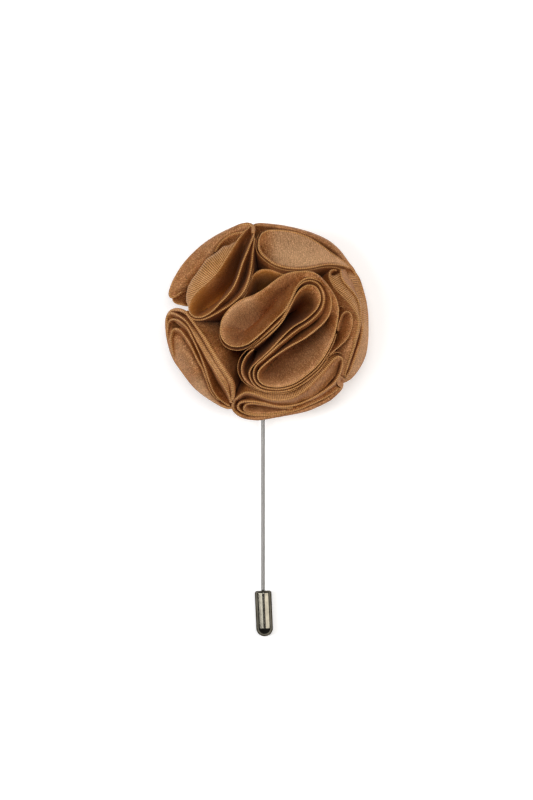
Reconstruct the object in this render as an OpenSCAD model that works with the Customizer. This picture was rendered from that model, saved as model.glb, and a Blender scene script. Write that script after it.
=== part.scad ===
// Satin flower lapel pin: gathered folds of satin on a felt backing, a stick pin and its clutch.
// It lies on its back: +Z is the way the flower faces, and the pin runs along -Y.
// The origin is the middle of the backing's flat back, on the pin's line.

/* [Flower] */
// Radius of the flower, to which all the folds' rows are shares
flower_r = 25; // [22:0.5:30]
// Height of the flower's crown above the surface it lies on
crown_h = 26; // [22:0.5:30]
// Height at which the widest folds would end
edge_h = 9; // [7:0.5:11]
// Radius of the dome that the rims follow, as a share of the flower's radius
dome_share = 1.08; // [1.06:0.01:1.2]
// Thickness of a wall of layered satin
wall_t = 1; // [1:0.05:1.2]
// Gap between the satin's gathered roots and the backing
seat_gap = 0.3; // [0.2:0.05:0.5]

/* [Backing] */
// Radius of the felt backing
backing_r = 16.5; // [15:0.5:18]
// Felt between the pin's shank and the flower
felt_over = 0.3; // [0.2:0.05:0.6]
// Rounding of the backing's rim
felt_round = 0.6; // [0.3:0.1:1]

/* [Stick pin] */
// Diameter of the wire
wire_d = 0.9; // [0.8:0.05:1]
// Diameter of the soldered shank that the backing holds
shank_d = 1.8; // [1.6:0.1:2.2]
// Length from the middle of the flower to the tip
pin_l = 77; // [70:1:85]
// Diameter of the ground end inside the clutch
end_d = 0.5; // [0.4:0.05:0.55]
// Length of the taper from the wire to the ground end
taper_l = 1.2; // [0.8:0.1:2]
// Length of the sharp point
point_l = 2.5; // [1.5:0.5:4]
// Radius of the soldered pad
pad_r = 6; // [4:0.5:8]
// Thickness of the soldered pad
pad_t = 0.6; // [0.5:0.1:0.8]

/* [Clutch] */
// Outside diameter of the clutch
clutch_d = 4.2; // [4:0.1:5]
// Length of the clutch
clutch_l = 11.5; // [11:0.5:14]
// Room between the pin's tip and the end of the hollow
tip_gap = 0.8; // [0.5:0.1:1.5]
// Angle at which the clutch hangs off the pin's line
clutch_lean = 2.4; // [0:0.2:3]
// Diameter of the clutch's mouth
mouth_d = 1.4; // [1.3:0.05:1.6]
// Depth of the clutch's mouth
mouth_l = 1; // [0.8:0.1:1.5]
// Diameter of the hollow that holds the pin's end
hollow_d = 2.4; // [2.2:0.1:2.6]
// Thickness of the clutch's closed end
clutch_end_t = 1.5; // [1.2:0.1:2]
// Rounding of the clutch's mouth end
clutch_round = 0.6; // [0.3:0.1:1]

/* [Hidden] */
// Clearance around what is glued into the felt
felt_fit = 0.05;
// The flower's middle lies to the right of the pin's line, as a share of its radius
middle = [0.03, 0];
// Steps that a fold takes between two of its rows
row_steps = 2;
// Heights at which a wall is cut, from its root to its rim
levels = [0, 0.3, 0.55, 0.8, 1];
pin_z = clutch_d / 2;
backing_t = pin_z + shank_d / 2 + felt_over;
root_z = backing_t + seat_gap;
pad_top = pin_z - shank_d / 2 + pad_t / 2;
// Shank that shows past the felt
shank_lead = 1;
shank_end = backing_r + shank_lead;
hollow_l = clutch_l - clutch_end_t;
clutch_mouth = pin_l - hollow_l + tip_gap;
// Bare wire left between the ground end and the clutch's mouth
wire_lead = 0.25;
round_fn = 48;

// Columns of a fold's row.
// Place of the rim across and up, as shares of the flower's radius from the pin's line.
across = 0;
up = 1;
// Height of the rim over the dome, as a share of the flower's radius.
rise = 2;
// How far the wall bows outwards between its root and its rim.
belly = 3;
// Share of the rim's distance from the flower's middle at which the wall stands.
root = 4;

// Cupped fold at the upper left, wound on to the flower's outer edge
upper_left_rows = [
    [-0.23, 0.83, -0.06, 0.2, 0.56],
    [-0.29, 0.735, -0.03, 0.5, 0.53],
    [-0.355, 0.63, -0.01, 0.7, 0.5],
    [-0.43, 0.525, 0, 0.8, 0.48],
    [-0.515, 0.43, 0, 0.75, 0.47],
    [-0.6, 0.35, 0, 0.6, 0.47],
    [-0.675, 0.27, 0, 0.4, 0.48],
    [-0.715, 0.19, 0, 0.2, 0.5],
    [-0.715, 0.12, 0, 0.1, 0.5],
    [-0.66, 0.07, 0, 0.05, 0.5],
    [-0.585, 0.06, 0, 0, 0.5],
    [-0.505, 0.1, 0, 0, 0.52],
    [-0.43, 0.175, 0, 0, 0.54],
    [-0.345, 0.27, 0, 0, 0.56],
    [-0.275, 0.38, 0, 0, 0.58],
    [-0.23, 0.5, 0, 0, 0.57],
    [-0.19, 0.63, 0, 0, 0.55],
    [-0.15, 0.75, 0, 0, 0.53],
    [-0.115, 0.86, -0.02, 0, 0.53],
    [-0.12, 0.93, -0.03, 0, 0.56],
    [-0.19, 0.945, -0.05, 0, 0.59],
    [-0.29, 0.915, -0.08, 0.05, 0.61],
    [-0.4, 0.865, -0.1, 0.05, 0.61],
    [-0.52, 0.795, -0.12, 0.05, 0.61],
    [-0.64, 0.71, -0.13, 0.05, 0.61],
    [-0.75, 0.605, -0.14, 0.05, 0.61],
    [-0.84, 0.49, -0.15, 0.05, 0.61],
    [-0.895, 0.37, -0.15, 0.05, 0.61],
    [-0.925, 0.25, -0.15, 0.05, 0.61]
];

// Bowl at the upper right, closed into a ring
upper_right_rows = [
    [-0.03, 0.8, -0.03, 0, 0.55],
    [-0.03, 0.72, -0.02, 0, 0.55],
    [0.01, 0.655, -0.01, 0, 0.56],
    [0.08, 0.6, 0, 0, 0.57],
    [0.18, 0.555, 0, 0, 0.58],
    [0.3, 0.535, 0, 0, 0.58],
    [0.43, 0.535, 0, 0, 0.58],
    [0.56, 0.55, -0.02, 0, 0.59],
    [0.68, 0.565, -0.05, 0, 0.59],
    [0.77, 0.565, -0.08, 0, 0.58],
    [0.8, 0.595, -0.1, 0, 0.6],
    [0.74, 0.645, -0.1, 0, 0.61],
    [0.66, 0.7, -0.1, 0, 0.6],
    [0.57, 0.755, -0.1, 0, 0.59],
    [0.46, 0.81, -0.1, 0, 0.57],
    [0.34, 0.85, -0.1, 0, 0.56],
    [0.21, 0.875, -0.09, 0, 0.56],
    [0.08, 0.88, -0.07, 0, 0.56],
    [0, 0.86, -0.05, 0, 0.56]
];

// Edge of the flower above that bowl
top_rows = [
    [-0.065, 0.958, -0.14, 0, 0.62],
    [0.06, 0.955, -0.15, 0, 0.62],
    [0.19, 0.94, -0.16, 0, 0.62],
    [0.32, 0.915, -0.16, 0, 0.62],
    [0.45, 0.875, -0.16, 0, 0.62],
    [0.57, 0.825, -0.16, 0, 0.64],
    [0.68, 0.755, -0.16, 0, 0.65],
    [0.765, 0.68, -0.16, 0, 0.65],
    [0.835, 0.6, -0.16, 0, 0.65],
    [0.895, 0.525, -0.16, 0, 0.65]
];

// Edge of the flower on the right
right_rows = [
    [0.93, 0.46, -0.16, 0, 0.62],
    [0.955, 0.385, -0.16, 0, 0.62],
    [0.985, 0.28, -0.16, 0, 0.62],
    [1.01, 0.17, -0.16, 0, 0.62],
    [1.025, 0.06, -0.16, 0, 0.62],
    [1.03, -0.05, -0.16, 0, 0.62],
    [1.025, -0.17, -0.16, 0, 0.62],
    [1.005, -0.29, -0.16, 0, 0.62],
    [0.965, -0.4, -0.16, 0, 0.62],
    [0.91, -0.495, -0.16, 0, 0.62],
    [0.845, -0.575, -0.16, 0, 0.62]
];

// Fold inside the right edge, hooked at its upper end and bowed outwards
right_inner_rows = [
    [0.755, 0.465, -0.1, 0.1, 0.59],
    [0.71, 0.48, -0.08, 0.1, 0.57],
    [0.675, 0.445, -0.06, 0.1, 0.55],
    [0.68, 0.39, -0.05, 0.15, 0.55],
    [0.715, 0.33, -0.04, 0.2, 0.56],
    [0.77, 0.275, -0.04, 0.25, 0.57],
    [0.83, 0.21, -0.05, 0.2, 0.58],
    [0.88, 0.135, -0.06, 0.15, 0.59],
    [0.91, 0.05, -0.08, 0.1, 0.59],
    [0.92, -0.05, -0.1, 0.05, 0.59],
    [0.915, -0.15, -0.1, 0.05, 0.59],
    [0.895, -0.26, -0.1, 0.05, 0.59],
    [0.87, -0.36, -0.1, 0.05, 0.6],
    [0.835, -0.45, -0.1, 0.05, 0.61]
];

// Small fold between the centre and the right
right_bud_rows = [
    [0.75, -0.13, -0.05, 0, 0.51],
    [0.755, -0.05, -0.05, 0, 0.51],
    [0.765, 0.03, -0.06, 0, 0.51],
    [0.8, 0.08, -0.07, 0, 0.53],
    [0.845, 0.065, -0.08, 0, 0.54],
    [0.855, 0, -0.09, 0, 0.55],
    [0.85, -0.08, -0.09, 0, 0.55],
    [0.82, -0.15, -0.09, 0, 0.54],
    [0.775, -0.205, -0.08, 0, 0.53],
    [0.73, -0.25, -0.07, 0, 0.52]
];

// Long fold under the centre, closed into a ring
bottom_rows = [
    [-0.21, -0.79, -0.05, 0, 0.54],
    [-0.15, -0.75, -0.04, 0, 0.54],
    [-0.06, -0.75, -0.03, 0, 0.54],
    [0.04, -0.775, -0.03, 0, 0.54],
    [0.14, -0.79, -0.03, 0, 0.54],
    [0.24, -0.785, -0.03, 0, 0.54],
    [0.33, -0.75, -0.02, 0, 0.54],
    [0.41, -0.685, -0.01, 0, 0.54],
    [0.49, -0.605, 0, 0, 0.54],
    [0.57, -0.525, 0, 0, 0.54],
    [0.65, -0.445, 0, 0, 0.53],
    [0.72, -0.385, -0.02, 0, 0.53],
    [0.77, -0.39, -0.05, 0, 0.55],
    [0.775, -0.46, -0.08, 0, 0.57],
    [0.745, -0.545, -0.1, 0, 0.57],
    [0.69, -0.63, -0.12, 0, 0.57],
    [0.61, -0.7, -0.13, 0, 0.57],
    [0.51, -0.765, -0.13, 0, 0.57],
    [0.4, -0.82, -0.13, 0, 0.57],
    [0.27, -0.865, -0.13, 0, 0.57],
    [0.13, -0.89, -0.12, 0, 0.57],
    [-0.01, -0.89, -0.11, 0, 0.57],
    [-0.13, -0.875, -0.1, 0, 0.56],
    [-0.2, -0.84, -0.08, 0, 0.55]
];

// Edge of the flower at the bottom
bottom_edge_rows = [
    [-0.275, -0.885, -0.14, 0, 0.61],
    [-0.18, -0.945, -0.15, 0, 0.61],
    [-0.07, -0.965, -0.16, 0, 0.61],
    [0.05, -0.96, -0.16, 0, 0.61],
    [0.18, -0.945, -0.16, 0, 0.61],
    [0.32, -0.915, -0.16, 0, 0.61],
    [0.46, -0.87, -0.16, 0, 0.61],
    [0.59, -0.81, -0.16, 0, 0.61],
    [0.7, -0.735, -0.16, 0, 0.61],
    [0.79, -0.635, -0.16, 0, 0.61]
];

// Large fold at the lower left, from beside the centre round to the flower's edge
lower_left_rows = [
    [-0.285, -0.685, -0.04, 0, 0.52],
    [-0.335, -0.575, -0.02, 0, 0.52],
    [-0.4, -0.465, 0, 0, 0.52],
    [-0.47, -0.36, 0, 0, 0.52],
    [-0.54, -0.25, 0, 0, 0.52],
    [-0.61, -0.145, 0, 0, 0.52],
    [-0.685, -0.05, -0.02, 0, 0.53],
    [-0.76, 0.03, -0.05, 0, 0.55],
    [-0.835, 0.08, -0.1, 0, 0.57],
    [-0.91, 0.07, -0.13, 0, 0.59],
    [-0.95, 0, -0.15, 0, 0.6],
    [-0.96, -0.1, -0.15, 0, 0.61],
    [-0.945, -0.205, -0.15, 0, 0.61],
    [-0.905, -0.31, -0.15, 0, 0.6],
    [-0.845, -0.42, -0.15, 0, 0.6],
    [-0.775, -0.525, -0.15, 0, 0.6],
    [-0.695, -0.62, -0.15, 0, 0.6],
    [-0.6, -0.71, -0.15, 0, 0.6],
    [-0.5, -0.78, -0.15, 0, 0.6],
    [-0.41, -0.83, -0.15, 0, 0.6],
    [-0.345, -0.855, -0.15, 0, 0.6]
];

// Second layer inside the large fold
lower_left_second_rows = [
    [-0.355, -0.735, -0.08, 0, 0.53],
    [-0.405, -0.625, -0.05, 0, 0.54],
    [-0.475, -0.51, -0.04, 0, 0.56],
    [-0.54, -0.4, -0.04, 0, 0.56],
    [-0.605, -0.29, -0.04, 0, 0.56],
    [-0.66, -0.19, -0.04, 0, 0.56],
    [-0.715, -0.1, -0.06, 0, 0.56],
    [-0.785, -0.035, -0.08, 0, 0.565],
    [-0.85, -0.005, -0.1, 0, 0.56]
];

// Third layer inside the large fold
lower_left_third_rows = [
    [-0.895, -0.165, -0.13, 0, 0.57],
    [-0.84, -0.115, -0.12, 0, 0.565],
    [-0.79, -0.165, -0.1, 0, 0.56],
    [-0.735, -0.26, -0.1, 0, 0.58],
    [-0.68, -0.37, -0.1, 0, 0.6],
    [-0.62, -0.475, -0.1, 0, 0.6],
    [-0.565, -0.585, -0.11, 0, 0.6],
    [-0.5, -0.68, -0.12, 0, 0.58],
    [-0.43, -0.745, -0.13, 0, 0.57]
];

// Doubled ruffle in the middle, closed into a ring
centre_rows = [
    [-0.405, -0.09, 0.02, 0, 0.44],
    [-0.38, -0.19, 0.02, 0, 0.44],
    [-0.3, -0.245, 0.02, 0, 0.44],
    [-0.2, -0.24, 0.02, 0, 0.44],
    [-0.1, -0.2, 0.03, 0, 0.44],
    [0, -0.125, 0.03, 0, 0.43],
    [0.09, -0.045, 0.03, 0, 0.42],
    [0.17, 0.05, 0.03, 0, 0.42],
    [0.235, 0.155, 0.03, 0, 0.42],
    [0.28, 0.26, 0.03, 0, 0.42],
    [0.335, 0.35, 0.02, 0, 0.41],
    [0.42, 0.395, 0.02, 0, 0.4],
    [0.52, 0.385, 0.02, 0, 0.4],
    [0.595, 0.31, 0.02, 0, 0.4],
    [0.63, 0.21, 0.02, 0, 0.4],
    [0.615, 0.11, 0.02, 0, 0.4],
    [0.56, 0.02, 0.02, 0, 0.4],
    [0.48, -0.055, 0.02, 0, 0.4],
    [0.38, -0.13, 0.02, 0, 0.4],
    [0.27, -0.21, 0.02, 0, 0.4],
    [0.16, -0.295, 0.02, 0, 0.4],
    [0.06, -0.38, 0.02, 0, 0.4],
    [-0.03, -0.465, 0.02, 0, 0.41],
    [-0.06, -0.555, 0.02, 0, 0.42],
    [0, -0.625, 0.02, 0, 0.43],
    [0.11, -0.64, 0.02, 0, 0.44],
    [0.23, -0.615, 0.02, 0, 0.44],
    [0.34, -0.56, 0.02, 0, 0.43],
    [0.44, -0.49, 0.02, 0, 0.43],
    [0.53, -0.41, 0.02, 0, 0.43],
    [0.6, -0.31, 0.02, 0, 0.44],
    [0.65, -0.2, 0.02, 0, 0.45],
    [0.685, -0.08, 0.02, 0, 0.46],
    [0.705, 0.05, 0.02, 0, 0.46],
    [0.715, 0.18, 0.02, 0, 0.46],
    [0.69, 0.3, 0.02, 0, 0.46],
    [0.63, 0.395, 0.02, 0, 0.46],
    [0.54, 0.455, 0.02, 0, 0.47],
    [0.43, 0.475, 0.02, 0, 0.48],
    [0.31, 0.46, 0.02, 0, 0.48],
    [0.2, 0.41, 0.02, 0, 0.48],
    [0.1, 0.34, 0.02, 0, 0.48],
    [0, 0.275, 0.02, 0, 0.46],
    [-0.11, 0.225, 0.02, 0, 0.44],
    [-0.22, 0.175, 0.02, 0, 0.44],
    [-0.315, 0.11, 0.02, 0, 0.44],
    [-0.38, 0.015, 0.02, 0, 0.44]
];

// Layer that wraps the ruffle's lower turn
centre_lower_rows = [
    [-0.07, -0.275, -0.02, 0, 0.5],
    [-0.14, -0.335, -0.02, 0, 0.5],
    [-0.19, -0.42, -0.02, 0, 0.5],
    [-0.2, -0.52, -0.02, 0, 0.5],
    [-0.145, -0.61, -0.02, 0, 0.5],
    [-0.05, -0.68, -0.02, 0, 0.5],
    [0.07, -0.71, -0.02, 0, 0.5],
    [0.19, -0.7, -0.02, 0, 0.5],
    [0.31, -0.65, -0.02, 0, 0.49],
    [0.41, -0.585, -0.02, 0, 0.48],
    [0.495, -0.515, -0.02, 0, 0.47],
    [0.57, -0.445, -0.02, 0, 0.47]
];

// Low fold that shows between the centre and the upper folds
back_rows = [
    [-0.18, 0.255, -0.14, 0, 0.52],
    [-0.155, 0.34, -0.14, 0, 0.54],
    [-0.12, 0.43, -0.14, 0, 0.54],
    [-0.05, 0.49, -0.14, 0, 0.54],
    [0.04, 0.50, -0.15, 0, 0.54],
    [0.12, 0.48, -0.16, 0, 0.54]
];

// Height of the dome over a place given in shares of the flower's radius
function dome(place) =
    let (far = norm(place - middle) / dome_share)
    edge_h + (crown_h - edge_h) * sqrt(max(0, 1 - far * far));

// Smooth curve through b and c, with a and d as their neighbours
function curve(a, b, c, d, t) =
    (2 * b + (c - a) * t + (2 * a - 5 * b + 4 * c - d) * t * t
        + (3 * b - a - 3 * c + d) * t * t * t) / 2;

// Row i of a fold, which goes round again if the fold is a ring and runs on straight if not
function row(rows, i, ring) =
    let (n = len(rows))
    ring ? rows[(i + n) % n]
    : i < 0 ? 2 * rows[0] - rows[1]
    : i >= n ? 2 * rows[n - 1] - rows[n - 2]
    : rows[i];

// All the rows of a fold, with the steps between them
function fold_line(rows, ring) =
    let (spans = ring ? len(rows) : len(rows) - 1)
    [
        for (i = [0:spans - 1], k = [0:row_steps - 1])
            curve(row(rows, i - 1, ring), row(rows, i, ring), row(rows, i + 1, ring),
                row(rows, i + 2, ring), k / row_steps),
        if (!ring) rows[len(rows) - 1]
    ];

// Middle of the wall at one row, at a share of the way from root to rim
function wall_middle(r, level) =
    let (
        rim = [r[across], r[up]],
        foot = middle + r[root] * (rim - middle),
        reach = level + 4 * r[belly] * level * (1 - level),
        place = foot + reach * (rim - foot),
        rim_z = dome(rim) + r[rise] * flower_r
    )
    [place.x * flower_r, place.y * flower_r, root_z + level * (rim_z - root_z)];

// Direction square to the wall at place i of the line and level j
function wall_normal(grid, i, j, ring) =
    let (
        n = len(grid),
        m = len(levels),
        before = ring ? (i + n - 1) % n : max(i - 1, 0),
        after = ring ? (i + 1) % n : min(i + 1, n - 1),
        along = grid[after][j] - grid[before][j],
        rising = grid[i][min(j + 1, m - 1)] - grid[i][max(j - 1, 0)],
        square = cross(along, rising)
    )
    square / norm(square);

// One side of the wall; its root stays level
function wall_side(grid, ring, offset) = [
    for (i = [0:len(grid) - 1]) [
        for (j = [0:len(levels) - 1])
            let (point = grid[i][j] + offset * wall_normal(grid, i, j, ring))
            [point.x, point.y, j == 0 ? root_z : point.z]
    ]
];

// A standing wall of satin along a fold's rows
module satin_wall(rows, ring = false) {
    line = fold_line(rows, ring);
    grid = [for (r = line) [for (level = levels) wall_middle(r, level)]];
    one = wall_side(grid, ring, wall_t / 2);
    other = wall_side(grid, ring, -wall_t / 2);
    n = len(grid);
    m = len(levels);
    loop = 2 * m;
    // Each place of the line has a loop of points: up one side and down the other
    points = [
        for (i = [0:n - 1]) each concat(one[i], [for (j = [m - 1:-1:0]) other[i][j]])
    ];
    spans = ring ? n : n - 1;
    skin = [
        for (i = [0:spans - 1], k = [0:loop - 1])
            let (next = (i + 1) % n, k2 = (k + 1) % loop)
            [i * loop + k, i * loop + k2, next * loop + k2, next * loop + k]
    ];
    ends = ring ? [] : [
        [for (k = [loop - 1:-1:0]) k],
        [for (k = [0:loop - 1]) (n - 1) * loop + k]
    ];
    polyhedron(points, concat(skin, ends));
}

// Turns a shape built along +Z so that it runs along the pin, away from the flower
module along_pin(from = 0) {
    translate([0, -from, pin_z]) rotate([90, 0, 0]) children();
}

module backing() {
    color("#8a5c34") difference() {
        rotate_extrude($fn = round_fn) felt_profile();
        translate([0, 0, pad_top - pad_t - felt_fit])
            cylinder(r = pad_r + felt_fit, h = pad_t + 2 * felt_fit, $fn = round_fn);
        along_pin(-shank_d)
            cylinder(d = shank_d + 2 * felt_fit, h = shank_d + shank_end, $fn = round_fn);
    }
}

// Half section of the felt, with its rims rounded by arcs
module felt_profile() {
    r = backing_r - felt_round;
    square([r, backing_t]);
    translate([r, felt_round]) square([felt_round, backing_t - 2 * felt_round]);
    intersection() {
        translate([r, 0]) square([felt_round, backing_t]);
        for (z = [felt_round, backing_t - felt_round])
            translate([r, z]) circle(felt_round, $fn = round_fn);
    }
}

module stick_pin() {
    color("#b5b3b0") {
        translate([0, 0, pad_top - pad_t]) cylinder(r = pad_r, h = pad_t, $fn = round_fn);
        along_pin() cylinder(d = shank_d, h = shank_end, $fn = round_fn);
        along_pin() rotate_extrude($fn = round_fn) wire_profile();
    }
}

// Half section of the wire, which is ground thinner inside the clutch and sharpened
module wire_profile() {
    wire_l = clutch_mouth - wire_lead;
    polygon([
        [0, 0], [wire_d / 2, 0], [wire_d / 2, wire_l], [end_d / 2, wire_l + taper_l],
        [end_d / 2, pin_l - point_l], [end_d / 20, pin_l], [0, pin_l]
    ]);
}

module clutch() {
    color("#2f2a26") translate([0, -clutch_mouth, pin_z]) rotate([90, 0, clutch_lean])
        difference() {
            rotate_extrude($fn = round_fn) clutch_profile();
            translate([0, 0, -mouth_l]) cylinder(d = mouth_d, h = 3 * mouth_l, $fn = round_fn);
            translate([0, 0, mouth_l])
                cylinder(d = hollow_d, h = hollow_l - mouth_l, $fn = round_fn);
        }
}

// Half section of the clutch: a softly rounded mouth and a domed end
module clutch_profile() {
    r = clutch_d / 2;
    translate([0, clutch_round]) square([r, clutch_l - clutch_round - r]);
    square([r - clutch_round, clutch_l - r]);
    intersection() {
        square([r, clutch_l]);
        union() {
            translate([r - clutch_round, clutch_round]) circle(clutch_round, $fn = round_fn);
            translate([0, clutch_l - r]) circle(r, $fn = round_fn);
        }
    }
}

module satin() {
    color("#a9764a") children();
}

backing();
stick_pin();
clutch();
satin() satin_wall(upper_left_rows);  // upper_left_petal
satin() satin_wall(upper_right_rows, ring = true);  // upper_right_petal
satin() satin_wall(top_rows);  // top_petal
satin() satin_wall(right_rows);  // right_petal
satin() satin_wall(right_inner_rows);  // right_inner_petal
satin() satin_wall(right_bud_rows);  // right_bud
satin() satin_wall(bottom_rows, ring = true);  // bottom_petal
satin() satin_wall(bottom_edge_rows);  // bottom_edge_petal
satin() satin_wall(lower_left_rows);  // lower_left_petal
satin() satin_wall(lower_left_second_rows);  // lower_left_second_layer
satin() satin_wall(lower_left_third_rows);  // lower_left_third_layer
satin() satin_wall(centre_rows, ring = true);  // centre_ruffle
satin() satin_wall(centre_lower_rows);  // centre_lower_layer
satin() satin_wall(back_rows);  // back_fold
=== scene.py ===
import math

import bmesh
import bpy
from mathutils import Matrix, Vector, noise


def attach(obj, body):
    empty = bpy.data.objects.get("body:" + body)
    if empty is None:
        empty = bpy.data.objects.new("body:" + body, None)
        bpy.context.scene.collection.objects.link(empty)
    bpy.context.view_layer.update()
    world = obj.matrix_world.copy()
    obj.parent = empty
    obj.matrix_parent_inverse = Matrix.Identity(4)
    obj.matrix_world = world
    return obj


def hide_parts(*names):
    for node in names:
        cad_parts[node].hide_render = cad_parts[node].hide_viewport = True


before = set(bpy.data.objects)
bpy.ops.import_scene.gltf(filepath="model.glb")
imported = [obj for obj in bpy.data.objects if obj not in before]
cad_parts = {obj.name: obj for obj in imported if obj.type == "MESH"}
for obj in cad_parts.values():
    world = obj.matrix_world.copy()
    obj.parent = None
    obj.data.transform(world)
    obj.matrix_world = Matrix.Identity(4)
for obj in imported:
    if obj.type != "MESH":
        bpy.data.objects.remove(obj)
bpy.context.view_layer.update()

bl_info = {
    "name": "Satin flower lapel pin",
    "version": (1, 0, 0),
    "blender": (4, 5, 0),
    "location": "3D View > Sidebar > Lapel Pin",
    "description": "Dresses the gathered satin flower, its felt, its stick pin and its clutch",
    "category": "Object",
}

MM = 0.001

# A layer of satin is one folded cloth. Its places, heights, feet and bows are in hundredths of the
# flower's radius, across and up from the line of the pin.
#   rim           the line of its fold
#   felt          the ply that stands on the felt: (row of the rim, rise over the dome, foot, bow
#                 out, bow up)
#   near          the ply on the fold's other side, if it shows: (row, foot, bow out, bow up)
#   roll          the fold's radius in mm, or (row, radius) keys
#   felt_on_left  the ply on the felt is left of the rim as it runs, and else on its right
#   closed        the rim and the keys of its plies go round to where they start
#   ease          0 leaves the near ply without the bends that level it at its foot and its fold
#   ribbed, lit, painted_glow
#                 where it shows an effect: ("near", "fold" or "felt", first row, last row, most); the
#                 ribs with painted highlights, a painted gloss with less painted shade, a painted glow
# A foot is one number for a share of the rim's way from the flower's middle, three for a place and
# its height over the roots, or two for how far beside and under the rim it is. Bows that are 0 at
# a key's end are left out.

UPPER_LEFT_WALL = {
  "rim": [(-10, 87), (-9.8, 93.5), (-14, 96.6), (-22, 95.6), (-30, 92.3), (-40, 87.6), (-50, 82.2),
    (-60, 75.2), (-70, 66.2), (-78, 57.5), (-84.3, 48.4), (-89.2, 39.7), (-92.2, 32), (-93.5, 26.8),
    (-92, 23.5), (-88.5, 24), (-84, 27.5), (-79, 31), (-74, 33.5)],
  "felt": [(0, -2, 54), (2, -5, 58, 3), (5, -10, 61, 5, 3), (13, -15, 61, 5, 3), (14, -18, 61),
    (16, -24, 60), (18, -32, 55)],
  "near": [(0, (-11, 88, 42)), (2, (-16, 90, 42), 0, 1), (3, (-24, 88.5, 42), 0, 2),
    (4, (-32, 86.5, 42), 0, 3), (5, (-40, 81, 42), 0, 4), (6, (-44.5, 74.5, 43), 0, 5),
    (7, (-48, 68, 44), 0, 5), (8, (-54, 60, 45), 0, 5), (10, (-65, 46, 42), 0, 5),
    (12, (-71, 35, 36), 0, 4), (14, (-73, 32, 30), 0, 2), (18, (-70, 33, 25))],
  "roll": [(0, 0.45), (14, 0.4), (18, 0.2)], "felt_on_left": True,
  "lit": [("near", -2, 9, 0.55), ("near", 10, 18, 0.3), ("felt", -2, 20, 0.4)]}
UPPER_LEFT_POCKET = {
  "rim": [(-47.8, 69), (-45.5, 73.5), (-42, 78.5), (-38, 83), (-33, 86), (-26, 88), (-17, 89)],
  "felt": [(0, -16, (-49, 69, 32)), (2, -14, (-43, 79, 36)), (4, -12, (-34, 86, 38)),
    (6, -12, (-17, 90, 38))],
  "near": [(0, (-44, 67, 34)), (2, (-37, 73.5, 35)), (4, (-26, 80, 38), 0, 1), (6, (-14, 86, 40), 0, 1)],
  "roll": 0.1, "felt_on_left": True}
UPPER_LEFT_END = {
  "rim": [(-87, 26), (-90, 23.5), (-90.5, 21), (-89, 19), (-85.7, 17.5), (-81, 16.3), (-76.4, 15.4),
    (-72, 15)],
  "felt": [(0, -26, 60), (2, -22, 60), (5, -27, 58), (7, -34, 55)],
  "near": [(0, (-82, 29, 15), 0, 1), (4, (-77, 30, 16), 0, 2), (7, (-70, 25, 12), 0, 2)],
  "roll": 0.15, "felt_on_left": True}
UPPER_LEFT_CUP = {
  "rim": [(-10, 95.5), (-15, 92.2), (-19.5, 87.6), (-24.5, 81), (-30, 72.1), (-35.5, 63.5), (-40.7, 54.8),
    (-45.7, 47.6), (-51, 41.8), (-57.1, 36.1), (-64, 30.2), (-69.2, 24.5), (-72.5, 18.5), (-73.8, 12),
    (-72, 6.6), (-68, 3.8), (-63.3, 3), (-57.5, 4.6), (-50, 9.5), (-42.9, 17), (-35.7, 24.3), (-30, 31.8),
    (-25.7, 40.7), (-22.6, 50), (-19.3, 60), (-15.4, 69), (-11.5, 79.3), (-9, 87)],
  "felt": [(0, -5, 57), (2, -3, 55, 5, 3), (3, -2, 53, 11, 5), (4, -1, 51, 19, 10), (5, 0, 49, 27, 14),
    (7, 0, 47, 33, 18), (9, 0, 47, 30.5, 16), (10, 0, 47, 28, 14), (11, 0, 48, 24, 10),
    (12, 0, 49, 19, 6), (13, 0, 50, 12, 3), (15, 0, 50), (20, 0, 55), (23, 0, 57), (25, 0, 54)],
  "near": [(0, (-12, 88, 40)), (3, (-17, 76, 30)), (5, (-22, 60, 24)), (7, (-27, 42, 24)),
    (9, (-36, 28, 26)), (11, (-50, 16, 32)), (13, (-58, 11, 40)), (15, (-58, 10, 40)),
    (17, (-53, 15, 34)), (19, (-43, 23, 27)), (21, (-32, 37, 23)), (23, (-26, 53, 23)),
    (25, (-20, 70, 26)), (27, (-13, 85, 36))],
  "roll": 0.12, "felt_on_left": True, "closed": True, "ribbed": [("felt", 2, 14, 1)],
  "painted_glow": [("near", 8, 21, 0.9), ("near", 1, 12, 0.4)]}
UPPER_LEFT_SECOND = {
  "rim": [(-8.2, 83), (-9, 76), (-10, 67.9), (-11, 57.1), (-12.7, 46.4), (-15.5, 36.5), (-20.5, 26.8),
    (-28.6, 18.4), (-40, 10.5), (-52.5, 3.6), (-60.8, 0.6), (-69, 1), (-74.5, 4.8), (-76.5, 10)],
  "felt": [(0, -4, 55), (4, -3, 60), (7, -3, 57), (13, -3, 53)],
  "near": [(0, (-10, 80, 30)), (2, (-16, 64, 20), 0, 2), (4, (-21, 46, 15), 0, 3),
    (6, (-28, 32, 20), 0, 2), (8, (-43, 16, 40)), (10, (-60, 6, 50)), (13, (-70, 10, 50))],
  "roll": 0.1, "felt_on_left": True}
UPPER_LEFT_THIRD = {
  "rim": [(-9.5, 53), (-11.3, 44.5), (-13.8, 36), (-17.5, 28.5), (-22.5, 22.2), (-30, 16.5)],
  "felt": [(0, -10, 60), (2, -6, 60), (5, -8, 57)]}
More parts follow.
